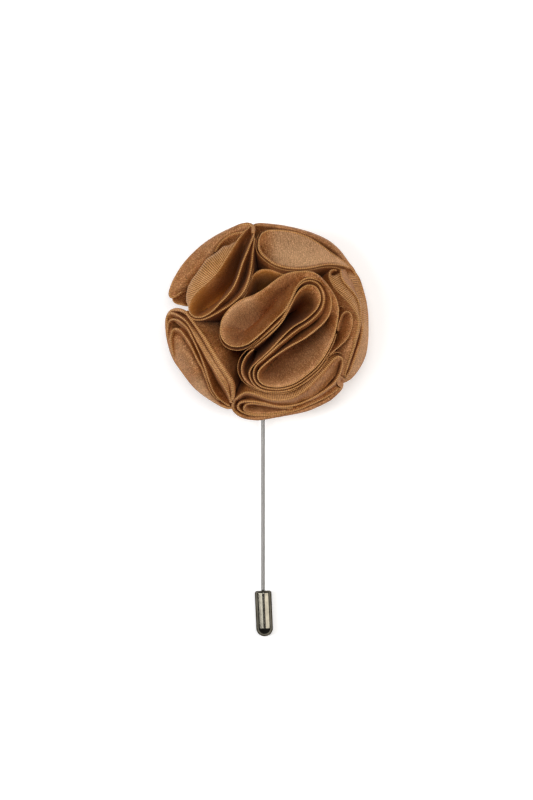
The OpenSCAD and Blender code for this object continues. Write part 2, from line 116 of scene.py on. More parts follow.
TOP_WALL = {
  "rim": [(-15, 90), (-11.5, 94.2), (-6, 96.2), (0, 96.3), (10, 95.5), (20, 94.2), (30, 92.2), (40, 89.6),
    (50, 86.5), (59.2, 82.7), (66.5, 78.5), (74, 72.2), (80, 65), (84.3, 58.5), (88.5, 53.5),
    (91.8, 48.7), (93, 44)],
  "felt": [(0, -23, 60), (1, -18, 60), (2, -15, 62, 4, 3), (8, -16, 63, 4, 3), (15, -16, 65, 3, 2),
    (16, -19, 65)],
  "near": [(0, (-12, 85, 20)), (2, (-4, 88, 20), 0, 5), (4, (10, 87, 20), 0, 9), (6, (28, 84, 18), 0, 11),
    (8, (46, 77, 16), 0, 12), (10, (61, 68, 14), 0, 12), (12, (72, 60, 14), 0, 10),
    (14, (80, 53, 14), 0, 6), (16, (86, 46, 12), 0, 2)],
  "roll": [(0, 0.2), (2, 0.45), (14, 0.45), (16, 0.2)],
  "lit": [("near", -2, 18, 0.5), ("felt", -2, 18, 0.4)]}
UPPER_RIGHT_BOWL = {
  "rim": [(-4, 80), (-4.5, 74.6), (-3.6, 70), (0, 64.8), (5.4, 60.2), (11.5, 56), (19.2, 53.3),
    (30, 51.6), (40, 51.6), (50, 53.2), (59.2, 55.3), (66.9, 56.3), (74.6, 56.2), (82, 55), (89, 52),
    (85, 56.5), (78, 61.5), (71.5, 65.5), (66.5, 69), (62, 72.5), (54.6, 77.7), (46.9, 82.3),
    (39.2, 85.6), (30, 88.5), (20, 90), (10, 90.3), (2, 89), (-2, 85.4)],
  "felt": [(0, -2, 55), (4, 0, 57), (8, 0, 58.5), (11, -7, 59), (13, -13, 60), (14, -18, 60),
    (15, -15, 60), (17, -9, 60), (20, -6, 58), (24, -6, 56), (26, -6, 55)],
  "near": [(0, (0, 75.5, 56)), (1, (1.5, 3)), (12, (1.5, 3)), (14, (80, 56.5, 38)), (16, (74, 56, 46)),
    (18, (62, 56, 56), 0, 1), (20, (50, 53.5, 65), 0, 2), (22, (34, 52, 71), 0, 2),
    (24, (17, 54.5, 71), 0, 1), (25, (9, 58, 69)), (26, (1, 64.5, 65), 0, -1),
    (27, (-2.5, 70, 60), 0, -1)],
  "roll": 0.1, "closed": True, "ease": 0, "lit": [("near", 11, 26.5, 1)]}
UPPER_RIGHT_SECOND = {
  "rim": [(-4.3, 87), (-6.7, 80), (-7.1, 73.8), (-5.3, 67.5), (0, 61.3), (9.2, 54.6), (19.2, 50.8),
    (30, 49.4), (40, 49.4), (50, 50.9), (58, 52.8), (67, 53.8), (75, 53), (82, 50.2)],
  "felt": [(0, -4, 55), (5, -2, 56), (9, -2, 57), (13, -8, 58)]}
BACK_LOBE = {
  "rim": [(-20.7, 20), (-16.4, 27.9), (-13.6, 35.7), (-10.5, 43), (-7, 47.5), (-2, 50.3), (4, 50.8),
    (10, 49.6), (16.7, 46.7), (21.7, 45.5)],
  "felt": [(0, -14, 60), (4, -14, 60), (9, -15, 60)],
  "near": [(0, (-12, 20, 35), 0, 2), (3, (-5, 30, 30), 0, 3), (5, (0, 30, 32), 0, 4),
    (7, (8, 33, 35), 0, 4), (9, (18, 40, 40), 0, 2)],
  "roll": 0.15, "painted_glow": [("near", -2, 11, 0.5), ("felt", -2, 11, 0.4)]}
CENTRE_OUTER = {
  "rim": [(-41.7, -8.3), (-41.5, -15), (-38.5, -20.5), (-34, -24.2), (-28.3, -26), (-20, -25.2),
    (-12.5, -21.8), (-5, -15.8), (3.3, -8.3), (11.7, 0), (20.3, 8.3), (25.2, 15.5), (29.2, 24.5),
    (33.3, 33.3), (38.3, 39.2), (45, 42.2), (54, 40.5), (60.5, 35.5), (65.5, 28), (67.8, 19), (67, 10),
    (64.2, 3.3), (59, -3.2), (50.8, -10.4), (40, -18.5), (30, -23.8), (20.8, -29.4), (10, -37),
    (1.7, -44), (-3.5, -49.2), (-5.2, -54.5), (-3.7, -60), (1, -63.8), (6.7, -65.4), (15, -66),
    (25, -64.2), (33.3, -60.8), (41.7, -55), (50, -48.3), (55, -43), (59.2, -37.5), (63.6, -30.5),
    (68.3, -21), (71.2, -12), (73.3, -2.5), (74.8, 8.3), (73.8, 17.5), (70, 26.2), (63.3, 36), (56.7, 43),
    (50, 47.2), (41.7, 48.5), (33.3, 48.2), (25, 46.5), (16.7, 42.6), (8.3, 36.25), (0, 30), (-8.3, 25.3),
    (-16.7, 22), (-25, 18), (-33.3, 11), (-38.8, 3.5), (-41.1, -2)],
  "felt": [(0, 2, 44), (8, 3, 43), (14, 2, 41), (16, 2, 50), (18, 2, (60, 22, 60), 0, 2),
    (20, 2, (57, 9, 60), 0, 3), (22, 2, (50, -2, 60), 0, 3), (24, 2, (34, -13, 60), 0, 2),
    (27, 2, (5, -36, 50)), (29, 2, 42), (33, 2, 43), (38, 2, 43), (44, 2, 46), (52, 2, 48), (58, 2, 45)],
  "near": [(0, (-20, -9, 59)), (3, (-19, -10, 58)), (5, (-16, -7, 57.5)), (8, (-5, 3, 57)),
    (10, (5, 15, 58)), (12, (17, 30, 62)), (14, (36, 42, 76.5)), (16, (56, 42.5, 80)), (18, (68, 29, 78)),
    (20, (69, 10, 72)), (22, (61, -4, 60)), (24, (42, -19, 46)), (27, (12, -38, 42)), (30, (0, -52, 55)),
    (32, (3, -47, 47), 0, 1), (34, (10, -40, 42), 0, 2), (37, (25, -27, 41), 0, 2),
    (40, (41, -16, 44), 0, 2), (43, (59, -2, 55), 0, 1), (45, (68, 8, 70)), (47, (69, 23, 76)),
    (49, (57, 42, 80)), (51, (42, 43, 78)), (53, (28, 33, 66), 0, 2), (55, (13, 19, 60), 0, 4),
    (57, (2, 5, 57.5), 0, 5), (59, (-10, -6, 57.5), 0, 5), (61, (-18, -10, 59), 0, 3)],
  "roll": 0.13, "felt_on_left": True, "closed": True,
  "lit": [("near", 56, 64, 0.8), ("near", 48, 66, 0.35), ("near", -3, 6, 0.5), ("near", 30, 44, 0.6)]}
CENTRE_MIDDLE = {
  "rim": [(-13, -26.2), (-8.5, -24), (0, -16.5), (10, -7.5), (19, 1.7), (23.5, 10), (28, 20), (33.3, 31),
    (38.3, 36.8), (45.5, 39.6), (53.5, 37.5), (59, 30), (60.7, 21.5), (59.2, 14), (55.8, 8), (49.2, 1.2),
    (42, -4.2), (36.7, -7.5), (30, -12.5), (22.8, -18.5), (15, -25), (7.5, -32), (0, -38.8), (-7, -45),
    (-9.5, -52), (-8.5, -58.5), (-4, -64.5), (4, -67.5), (15, -68.5), (25, -66.8), (34, -63.2),
    (43, -57.2), (51.5, -50.3), (57, -44.5), (61.2, -38.5), (65.8, -31), (70.2, -22), (73, -13)],
  "felt": [(0, -9, 46), (3, -1, 43), (6, 1, 42), (11, 0, 41), (20, 0, 41), (27, 0, 45), (34, -2, 45),
    (37, -12, 45)],
  "near": [(0, (3, 10)), (37, (3, 10))],
  "roll": 0.1}
CENTRE_INNER = {
  "rim": [(-16, -28.5), (-9, -26.6), (0, -19.5), (10, -11), (19, -1.2), (24.5, 9), (29, 18), (34, 26.8),
    (39.8, 33), (45.8, 35.4), (52.5, 33.3), (56.2, 27.5), (57.1, 21.7), (55.6, 15.8), (52.3, 10.3),
    (46.5, 4.5), (40, -0.5), (33.3, -4.3), (27.2, -8.8), (20.6, -15), (14.5, -21.5), (8, -28.5), (0, -36),
    (-6.7, -42), (-11.7, -47.5), (-13.5, -53.3), (-11.2, -60.5), (-6, -66.5), (2, -70), (15, -71),
    (25.5, -69.4), (35, -65.5), (44.5, -59.2), (53, -52.2), (59, -45.8), (63.8, -38.5), (68, -30.5)],
  "felt": [(0, -11, 48), (3, -2, 45), (5, -1, 43), (10, -2, 42), (20, -2, 42), (27, -2, 46), (33, -4, 46),
    (36, -14, 46)],
  "near": [(0, (-15, -34, 10)), (2, (-3, -27, 12)), (4, (13, -8, 15)), (6, (27, 8, 20), 0, 2),
    (8, (35, 12, 25), 0, 6), (9, (37, 12, 27), 0, 8), (11, (40, 10, 27), 0, 6), (13, (39, 7, 25), 0, 3),
    (15, (33, 2, 20)), (17, (23, -6, 15)), (19, (11, -18, 12)), (21, (-1, -31, 10)), (23, (-12, -41, 10)),
    (25, (-17, -52, 30)), (28, (0, -72, 50)), (32, (45, -61, 50)), (36, (69, -31, 45))],
  "roll": 0.1, "felt_on_left": True}
CENTRE_TURN = {
  "rim": [(-10, -26.2), (-15, -29), (-20, -33.5), (-24, -39.5), (-25.4, -47), (-24.2, -54), (-20, -60.6),
    (-15, -64.5), (-8.3, -68.3), (0, -71), (8, -72.6), (17, -73.3), (26, -71.6), (35, -68)],
  "felt": [(0, -4, 50), (13, -4, 50)]}
CENTRE_TURN_INNER = {
  "rim": [(-9, -28.5), (-14, -32.5), (-18.5, -38.5), (-21.2, -46), (-20.7, -53.5), (-16.8, -60.5),
    (-10, -65.5), (-2, -69.2), (6, -71.6)],
  "felt": [(0, -3, 49), (8, -3, 49)],
  "near": [(0, (-10, -33, 20)), (2, (-13, -42, 30), 0, 3), (3, (-15, -47, 45), 0, 4),
    (4, (-15, -53, 58), 0, 4), (5, (-12.5, -59, 64), 0, 4), (6, (-7, -64, 66), 0, 2), (8, (7, -70.5, 66))],
  "roll": 0.1, "felt_on_left": True, "lit": [("near", 1, 9, 0.5)]}
CENTRE_LOBE_SECOND = {
  "rim": [(-42.8, -6), (-43.6, -12), (-43, -17.5), (-40.5, -23.2), (-36, -27.2), (-30, -29.4),
    (-24, -29.8), (-18, -28.4), (-12, -25), (-5, -19)],
  "felt": [(0, -5, 47), (3, -2, 47), (9, -2, 46)]}
LOWER_LEFT_WALL = {
  "rim": [(-30.5, -79.5), (-29.8, -71.5), (-31.2, -62), (-36.8, -52.8), (-44.3, -41), (-51.8, -28.2),
    (-58.2, -17.2), (-65, -7.5), (-70.5, 0), (-75.3, 6.4), (-80, 10), (-85.5, 11.3), (-91, 10.7),
    (-94.8, 7), (-96.5, 0), (-96.2, -10), (-94.5, -20.5), (-91.6, -31), (-87.5, -40), (-81.5, -48.5),
    (-75.2, -57.2), (-67.8, -66), (-58.8, -73.6), (-49, -80), (-39.5, -85.2), (-31.5, -87.2),
    (-26.2, -84.2)],
  "felt": [(0, -6, 53), (3, -2, 52, -5, 6), (5, 0, 52, -12, 12), (7, -1, 53, -10, 10), (9, -3, 54, 0, 3),
    (11, -8, 58), (13, -13, 60, 3), (18, -14, 60, 4, 2), (24, -15, 60, 4, 2), (25, -17, 60),
    (26, -22, 60)],
  "near": [(0, (-31, -80, 35)), (1, (-29.5, -72, 50)), (3, (-36, -55, 60)), (5, (-51.2, -31, 62)),
    (7, (-65.5, -9, 60)), (9, (-75, 3.5, 50)), (11, (-85, 8.5, 38)), (13, (-92.5, 4.5, 31), 0, 1),
    (14, (-92.5, -3, 32), 0, 1), (15, (-88, -10, 37), 0, 2), (16, (-83, -13, 42), 0, 4),
    (18, (-71, -30, 49), 0, 6), (20, (-61, -48, 49), 0, 7), (22, (-54, -66, 41), 0, 7),
    (24, (-41, -80, 27), 0, 4), (26, (-30, -84, 15))],
  "roll": [(0, 0.3), (2, 0.75), (5, 0.7), (8, 0.4), (12, 0.3), (15, 0.4), (24, 0.4), (26, 0.2)],
  "felt_on_left": True, "ribbed": [("fold", 1, 9, 0.4)],
  "lit": [("near", 15, 21, 0.65), ("near", 19, 28, 0.9), ("felt", 6, 13, 0.75), ("felt", 13, 28, 0.4)]}
LOWER_LEFT_THIRD = {
  "rim": [(-31.3, -82), (-34.5, -72), (-40, -61.7), (-46.7, -50.5), (-53.3, -39.8), (-60, -28.1),
    (-66.1, -17.3), (-72, -6.5), (-77.2, 0.4), (-83.8, 5), (-90, 8), (-94.2, 7.6), (-96, 3.5)],
  "felt": [(0, -7, (-30.5, -81, 45)), (2, -3, (-32, -61, 62), 0, 4), (4, -3, (-44, -41, 65), 0, 4),
    (6, -3, (-60, -16, 64), 0, 2), (8, -4, (-73.5, 3, 55)), (10, -10, (-88, 9.5, 40)),
    (12, -14, (-95.5, 3, 30))],
  "near": [(0, (-34, -82, 30)), (2, (-46, -64, 32)), (4, (-56.5, -42, 45)), (6, (-69, -17, 50)),
    (8, (-78.5, -2, 45)), (10, (-89, 4.5, 36)), (12, (-93, 0, 33))],
  "roll": 0.12, "ribbed": [("felt", 1, 9, 0.8)], "lit": [("felt", 1, 9, 0.5)],
  "painted_glow": [("felt", 1, 9, 0.3)]}
LOWER_LEFT_SECOND = {
  "rim": [(-33, -85), (-39, -81.5), (-45, -76.5), (-50, -69), (-54, -58.3), (-57.3, -47.5), (-60.8, -38),
    (-65, -28), (-70, -17.5), (-74.5, -8.5), (-79.5, -3), (-85, 0.8), (-90, 1.9), (-93.7, 0),
    (-95.2, -4.5), (-95.5, -11.5), (-94.7, -18.5)],
  "felt": [(0, -12, 58), (4, -7, 57), (10, -6, 57), (13, -9, 59), (15, -10, 59), (16, -13, 59)],
  "near": [(0, (-36, -85, 30)), (3, (-52, -70, 36)), (6, (-62.5, -38, 50)), (9, (-75, -12, 50)),
    (12, (-88.5, 0, 40)), (14, (-92.5, -5, 36)), (16, (-93, -18, 34))],
  "roll": 0.1}
LOWER_LEFT_FIRST = {
  "rim": [(-43, -79), (-48.2, -75.5), (-53, -68), (-56.5, -57.5), (-60, -48), (-64.8, -39.3),
    (-69.2, -30), (-73.7, -21.2), (-78.5, -14), (-82.5, -9.5), (-86.5, -7.5), (-89.8, -8.5), (-91.5, -13),
    (-92.1, -19), (-91.2, -27), (-88.5, -36), (-84.5, -44)],
  "felt": [(0, -15, 57), (2, -12, 58), (4, -10, 58), (6, -9, 58), (8, -8, 58), (10, -7, 60), (12, -7, 60),
    (14, -9, 60), (16, -16, 60)],
  "near": [(0, (-45, -80, 28)), (2, (-54.5, -69, 40)), (4, (-61.5, -49, 47)), (6, (-71, -31, 49)),
    (8, (-79, -18, 46)), (10, (-85, -13, 43)), (12, (-87, -17, 40)), (14, (-86, -27, 37)),
    (16, (-81, -42, 33))],
  "roll": 0.14}
BOTTOM_FOLD = {
  "rim": [(-30, -80), (-28.3, -78.3), (-21.7, -73.5), (-16.7, -71.2), (-10, -72.2), (-3.3, -74.5),
    (3.3, -77.1), (11.7, -78.8), (23.3, -78.3), (32.5, -75.2), (40, -70.2), (46.7, -64.2), (53.3, -57.2),
    (60, -50.3), (65, -44.4), (70, -38.5), (74.7, -35.5), (78.3, -36.5), (79.5, -40.8), (78.3, -47.8),
    (75.7, -54.8), (71.2, -61.7), (63.3, -68.4), (53.3, -75), (40, -81.5), (30, -84.5), (20, -85.6),
    (11.7, -85), (3.3, -82.8), (-8.3, -80.5), (-16.7, -80.3), (-22.8, -81.6), (-25.2, -84.8),
    (-23.8, -88.6), (-19, -91.8), (-10, -94.2), (6.7, -94.3), (23.3, -91.5), (36.7, -88), (50, -82.3),
    (62, -76.5), (70, -71.7), (76.5, -66.8)],
  "felt": [(0, -10, 55), (3, -6, 54, 0, 8), (5, -5, 54, 0, 12), (10, -5, 54, 0, 12), (15, -5, 54, 0, 8),
    (17, -6, 54), (19, -7, (80, -50, 40)), (21, -9, (73.5, -64.5, 30)), (23, -10, (55, -77, 34)),
    (25, -10, (32, -85, 34)), (27, -10, (13, -87, 30)), (29, -10, (-7, -83, 25)),
    (31, -10, (-19, -83.5, 25)), (33, -11, (-21, -85, 25)), (34, -12, (-16, -83, 25)),
    (35, -13, (-6, -82.5, 27)), (36, -14, (10, -85.5, 30), 0, 1), (37, -14, (24, -85, 34), 0, 1),
    (38, -14.5, (37, -82, 35)), (40, -15, (60, -73, 33)), (42, -15, (72, -65, 28))],
  "near": [(0, (-27, -82, 35)), (3, (-18, -78.5, 36)), (5, (-6, -79, 44)), (7, (10, -83, 50)),
    (9, (31, -83, 50)), (11, (49, -76, 49)), (13, (62, -66.5, 47)), (15, (72, -55, 46)),
    (17, (76.5, -43, 48)), (19, (2, 4)), (23, (2, 3)), (27, (2, 3)), (31, (2, 4)), (33, (-26, -90, 25)),
    (35, 60), (42, 60)],
  "roll": 0.12, "felt_on_left": True, "ribbed": [("felt", 3, 17, 1)],
  "lit": [("felt", 2, 15, 0.4), ("near", 5, 18, 0.15)]}
BOTTOM_LINING = {
  "rim": [(30, -87), (20, -86.8), (11, -85.7), (3, -84.2), (-5.7, -82.9), (-12, -82.4), (-16.8, -83.4),
    (-19.3, -85.6), (-19.6, -88.4), (-16.5, -91.5), (-10, -93), (0, -93.3), (12, -92), (24, -90)],
  "felt": [(0, -16, 60), (2, -12, 60), (7, -11, 60), (10, -13, 60), (13, -15, 60)],
  "near": [(0, (30, -88.5, 28)), (2, (10, -87.2, 28)), (4, (-6, -85, 28)), (6, (-15, -85, 30)),
    (8, (-12, -86, 32), 0, 2), (10, (-6, -84, 31), 0, 3), (12, (10, -86, 30), 0, 3),
    (13, (24, -87, 30), 0, 2)],
  "roll": 0.08, "lit": [("near", 5, 15, 0.55)]}
BOTTOM_SECOND = {
  "rim": [(45, -57), (53.9, -46.3), (61.6, -39.4), (68.3, -33.7), (73.2, -31.8), (77, -32), (80, -33.5)],
  "felt": [(0, -8, 55), (3, -5, 55), (6, -7, 55)]}
BOTTOM_WALL = {
  "rim": [(-28.5, -80), (-30.3, -84.5), (-28.5, -89.5), (-23.2, -93.8), (-16.7, -96.5), (-4, -97.7),
    (6, -96), (20, -93.6), (31.7, -91.5), (45, -88.3), (56, -83.6), (66, -78.5), (72.5, -73), (77, -68.5),
    (79.3, -64.5), (79, -60)],
  "felt": [(0, -12, 58), (2, -14, 61, 3, 2), (7, -15, 61, 4, 2), (13, -16, 61, 3, 2), (14, -18, 61),
    (15, -23, 60)],
  "near": [(0, (-27, -82, 35)), (2, (-25, -88, 30), 0, 2), (4, (-15, -92, 26), 0, 5),
    (6, (5, -91, 25), 0, 6), (8, (29, -86, 25), 0, 6), (10, (53, -78, 24), 0, 6),
    (12, (68, -69, 22), 0, 5), (15, (75, -60, 20))],
  "roll": [(0, 0.3), (2, 0.45), (13, 0.45), (15, 0.2)], "felt_on_left": True,
  "lit": [("near", 1, 14, 0.45), ("felt", 1, 14, 0.4)]}
RIGHT_WALL = {
  "rim": [(86, 54), (90.5, 50.5), (93.8, 45.5), (96.2, 40.5), (98.5, 32.3), (101.3, 22.3), (103, 13),
    (103.8, 4), (104.1, -8.3), (103.4, -24), (101.6, -33.3), (98.3, -41.5), (93.5, -49.5), (88.5, -55.5),
    (84, -59), (80, -61), (75, -61)],
  "felt": [(0, -25, 62), (1, -20, 62), (2, -18, 62, 2), (4, -16, 62, 4, 2), (13, -16, 62, 4, 2),
    (14, -17, 62), (16, -22, 60)],
  "near": [(0, (82, 50, 28)), (2, (84, 45, 36)), (4, (88, 33, 38), 0, 1), (6, (95.5, 17, 38), 0, 3),
    (8, (97.5, -3, 39), 0, 4), (10, (94, -24, 37), 0, 4), (12, (85, -42, 36), 0, 4),
    (14, (77, -52, 33), 0, 3), (16, (73, -56, 25))],
  "roll": [(0, 0.2), (3, 0.45), (13, 0.45), (16, 0.2)], "ribbed": [("near", 0, 9, 0.7)],
  "lit": [("near", 6, 19, 0.8), ("near", -2, 8, 0.35), ("felt", -2, 18, 0.4)]}
RIGHT_SECOND = {
  "rim": [(99, 22), (100.5, 10), (100.3, -3), (98.5, -15), (95.5, -26.5), (91.8, -37.5), (88.2, -47.2),
    (85.2, -52.8), (82.4, -56.8)],
  "felt": [(0, -15, (100, 20, 25)), (3, -11, (99.8, -16, 28)), (5, -10, (93.5, -38.5, 28)),
    (7, -11, (86.5, -54, 26)), (8, -13, (83, -58, 24))],
  "near": [(0, (96, 20, 28), 0, 2), (3, (94.5, -14, 32), 0, 2), (5, (88.5, -36, 32), 0, 2),
    (7, (83.5, -51, 30)), (8, (81, -56, 28))],
  "roll": 0.12, "felt_on_left": True, "lit": [("near", -2, 10, 0.35)]}
RIGHT_SCRAP = {
  "rim": [(80, -66.8), (76.5, -65.5), (74.2, -63), (74.5, -59.2), (77, -54.5), (79.5, -56.5), (82, -60)],
  "felt": [(0, -14, 62), (3, -11, 62), (4, -10, 62), (6, -13, 62)],
  "near": [(0, (80, -63, 32)), (3, (78, -60, 36)), (4, (77.5, -60, 36)), (6, (80, -62, 33))],
  "roll": 0.08}
RIGHT_BEADED = {
  "rim": [(77.6, 51.2), (77.8, 46), (79.3, 41), (82.3, 36.8), (86.2, 32.7), (90.5, 27.7), (94.3, 21.8),
    (96.3, 15), (97.1, 7.5), (96.9, 0), (95.4, -8.6), (93.2, -16.5), (90.8, -24.5), (88.4, -32),
    (85.8, -40), (83.2, -48), (81.2, -55.5)],
  "felt": [(0, -4, (83, 52, 35)), (4, -3, (90, 38, 36)), (7, -7, (98.5, 16, 33)), (9, -9, (99, 0, 33)),
    (12, -10, (93, -24, 33)), (16, -12, (83, -55, 30))],
  "near": [(0, (1, 2)), (3, (2, 3)), (5, (3, 4)), (7, (93.5, 13, 38)), (9, (90, 0, 39), 0, 1),
    (11, (81, -12, 41), 0, 3), (13, (74, -26, 42), 0, 3), (15, (73, -42, 40), 0, 3),
    (16, (73.5, -53, 36), 0, 3)],
  "roll": [(0, 0.16), (6, 0.17), (9, 0.3), (14, 0.28), (16, 0.16)], "felt_on_left": True,
  "ribbed": [("fold", 2, 15, 1)], "lit": [("near", 6, 18, 0.5)]}
RIGHT_CURL = {
  "rim": [(74, 50), (70, 51.2), (66.5, 49.2), (65.6, 45), (67.7, 38.8), (71.5, 32.6), (76.9, 27.1),
    (82.3, 22), (86.7, 17), (90.5, 12), (93.6, 6.5), (95.4, 1), (95.3, -5.5), (93.7, -12.5), (91.2, -21)],
  "felt": [(0, -10, 60), (2, -6, 58), (4, -5, 60, -4, 4), (6, -6, 62, -9, 6), (9, -7, 66, -13, 8),
    (12, -7.5, 68, -15, 10), (14, -10, 66, -14, 10)],
  "near": [(0, (73, 47, 30)), (2, (70, 44, 30)), (2.9, (71, 44, 34)), (3.5, (77, 49, 55)),
    (4.5, (78.7, 42, 55.5), 0, 2), (5.5, (83, 35.8, 54.5), 0, 3), (6.5, (88.2, 30, 52), 0, 3),
    (8, (93, 23.5, 48), 0, 2), (9.5, (95.8, 15, 45), 0, 1), (11, (96.6, 5, 44)), (12, (96.2, -3, 43)),
    (14, (92, -20, 40))],
  "roll": 0.1, "ribbed": [("near", 1, 13, 1)]}
RIGHT_TURN = {
  "rim": [(76.5, 9), (75.7, 12.5), (77.2, 15), (80, 14.2), (81.2, 11.8)],
  "felt": [(0, -10, 60), (4, -12, 60)]}
RIGHT_LOBE = {
  "rim": [(74.2, -10), (74.8, -4), (76.7, 0.8), (78.3, 5.5), (81.5, 9), (85.6, 9), (88.2, 5), (89, -2.5),
    (87.3, -10), (84, -17.5), (78.3, -23.3), (71.7, -29.2), (66, -34)],
  "felt": [(0, -5, 51), (5, -8, 54), (8, -9, 55), (12, -6, 51)],
  "near": [(0, (75.5, -11, 50)), (3, (79, 0, 48)), (5, (80, 4, 46), 0, 1), (7, (78.5, 0, 46), 0, 2),
    (9, (75.5, -8, 46), 0, 2), (12, (68, -27, 46))],
  "roll": 0.1}

# The layers of each piece of satin, which stands for the node of the same name.
PETALS = {
    "upper_left_petal": (UPPER_LEFT_WALL, UPPER_LEFT_POCKET, UPPER_LEFT_END, UPPER_LEFT_CUP,
                         UPPER_LEFT_SECOND, UPPER_LEFT_THIRD),
    "upper_right_petal": (UPPER_RIGHT_BOWL, UPPER_RIGHT_SECOND),
    "top_petal": (TOP_WALL,),
    "right_petal": (RIGHT_WALL, RIGHT_SECOND, RIGHT_SCRAP),
    "right_inner_petal": (RIGHT_CURL, RIGHT_BEADED, RIGHT_TURN),
    "right_bud": (RIGHT_LOBE,),
    "bottom_petal": (BOTTOM_FOLD, BOTTOM_LINING, BOTTOM_SECOND),
    "bottom_edge_petal": (BOTTOM_WALL,),
    "lower_left_petal": (LOWER_LEFT_WALL,),
    "lower_left_second_layer": (LOWER_LEFT_THIRD, LOWER_LEFT_SECOND),
    "lower_left_third_layer": (LOWER_LEFT_FIRST,),
    "centre_ruffle": (CENTRE_OUTER, CENTRE_MIDDLE, CENTRE_INNER, CENTRE_LOBE_SECOND),
    "centre_lower_layer": (CENTRE_TURN, CENTRE_TURN_INNER),
    "back_fold": (BACK_LOBE,),
}

# Effects that a layer shows in places: the cloth's ribs, with painted highlights on them, a painted
# paler gloss, with less painted shade, where a face lies open, and a painted glow inside a fold
EFFECTS = ("ribbed", "lit", "painted_glow")
# Rows of the rim over which an effect comes and goes
EFFECT_FADE = 2
# Heights at which a ply's mesh has its rows, as shares of the way from its foot to its fold
LEVELS = (0, 0.12, 0.24, 0.36, 0.48, 0.6, 0.71, 0.81, 0.89, 0.95, 1)
# Turns at which a fold's mesh has its rows, as shares of the half turn from one ply to the other
TURNS = (0.25, 0.5, 0.75)
# Steps from one row of a rim to the next in which the rim is measured
RIM_STEPS = 8
# The flower's middle, in shares of its radius from the line of the pin
MIDDLE = (0.03, 0)
# Soft dents in the cloth: their size and that of the finer ones on them, how strong those are, how
# much they are drawn out upright, how strong all are at a fold, and how far from it they are full
DENT = 5 * MM
FINE_DENT = 2.1 * MM
FINE_DENT_SHARE = 0.45
DENT_UPRIGHT = 0.6
DENT_AT_FOLD = 0.25
DENT_FULL = 4 * MM
# How far apart two layers' dents are taken, in mm
DENT_SHIFT = 40
# How near each other the two ends of a closed layer are sewn
SEAM = 0.01 * MM
# Where the lights point, and the place that the picture has at its middle
LIT_PLACE = (0, -0.02, 0.01)
VIEW_MIDDLE = (0.875 * MM, -19.75 * MM)


def length_prop(name, description, default):
    return bpy.props.FloatProperty(
        name=name, description=description, default=default, unit="LENGTH")


def colour_prop(name, description, default):
    return bpy.props.FloatVectorProperty(
        name=name, description=description, default=default, subtype="COLOR")


class SatinSizes(bpy.types.PropertyGroup):
    """Sizes and colours of the satin"""

    flower_r: length_prop(
        "Flower radius", "Radius that the places in the layers are hundredths of", 25 * MM)
    crown_h: length_prop("Crown height", "Height of the dome's top over the surface", 26 * MM)
    edge_h: length_prop("Edge height", "Height at which the widest folds would end", 9 * MM)
    root_h: length_prop("Root height", "Height of the gathered roots over the surface", 3.6 * MM)
    dome_share: bpy.props.FloatProperty(
        name="Dome radius", description="Radius of the dome, as a share of the flower's",
        default=1.08)
    cloth_t: length_prop("Cloth thickness", "Thickness of one ply of satin", 0.2 * MM)
    step: length_prop("Step", "Length of cloth between two columns of its mesh", 0.7 * MM)
    rib: length_prop("Rib", "From one rib of the weave to the next", 0.46 * MM)
    crease: length_prop("Creases", "Depth of the soft dents in the cloth", 0.22 * MM)
    colour: colour_prop("Satin", "Colour of the satin", (0.248, 0.084, 0.0155))
    # Painted shade: the colour deep in the folds, also the colour of the painted glow next to them
    painted_shade_and_glow_colour: colour_prop(
        "Satin in the folds", "Colour of the satin down in the folds", (0.27, 0.05, 0.003))
    # Painted highlight on the folds' edges and on ribbed cloth
    edge_highlight_colour: colour_prop(
        "Satin edge", "Colour of the satin where an edge catches the light", (0.52, 0.28, 0.095))
    gloss_colour: colour_prop(
        "Satin gloss", "Colour of the specks and haze of light on the satin", (0.57, 0.35, 0.19))
    # Painted glow: a brighter, warmer colour where light would glow inside a fold
    painted_glow_colour: colour_prop(
        "Satin glow", "Colour of the satin where light glows inside a fold", (0.47, 0.19, 0.034))
    sheen: colour_prop(
        "Satin sheen", "Colour of the sheen where light glances off the satin", (0.95, 0.72, 0.58))


class HardwareSizes(bpy.types.PropertyGroup):
    """Colours of the felt and the metal"""

    felt: colour_prop("Felt", "Colour of the felt", (0.16, 0.085, 0.04))
    steel: colour_prop("Steel", "Colour of the wire", (0.13, 0.127, 0.123))
    nickel: colour_prop("Black nickel", "Colour of the clutch's plating", (0.125, 0.116, 0.094))


class StageSizes(bpy.types.PropertyGroup):
    """Floor, light and camera"""

    view_h: length_prop("View height", "Height of the picture at the flower", 200 * MM)
    camera_d: length_prop("Camera distance", "From the camera to the flower", 1.4)
    focus_h: length_prop("Flower height", "Height at which the picture has its scale", 13 * MM)
    floor: colour_prop("Floor", "Colour of the floor", (0.9, 0.9, 0.9))


def rgba(colour, gain=1):
    return tuple(min(1, part * gain) for part in colour) + (1,)


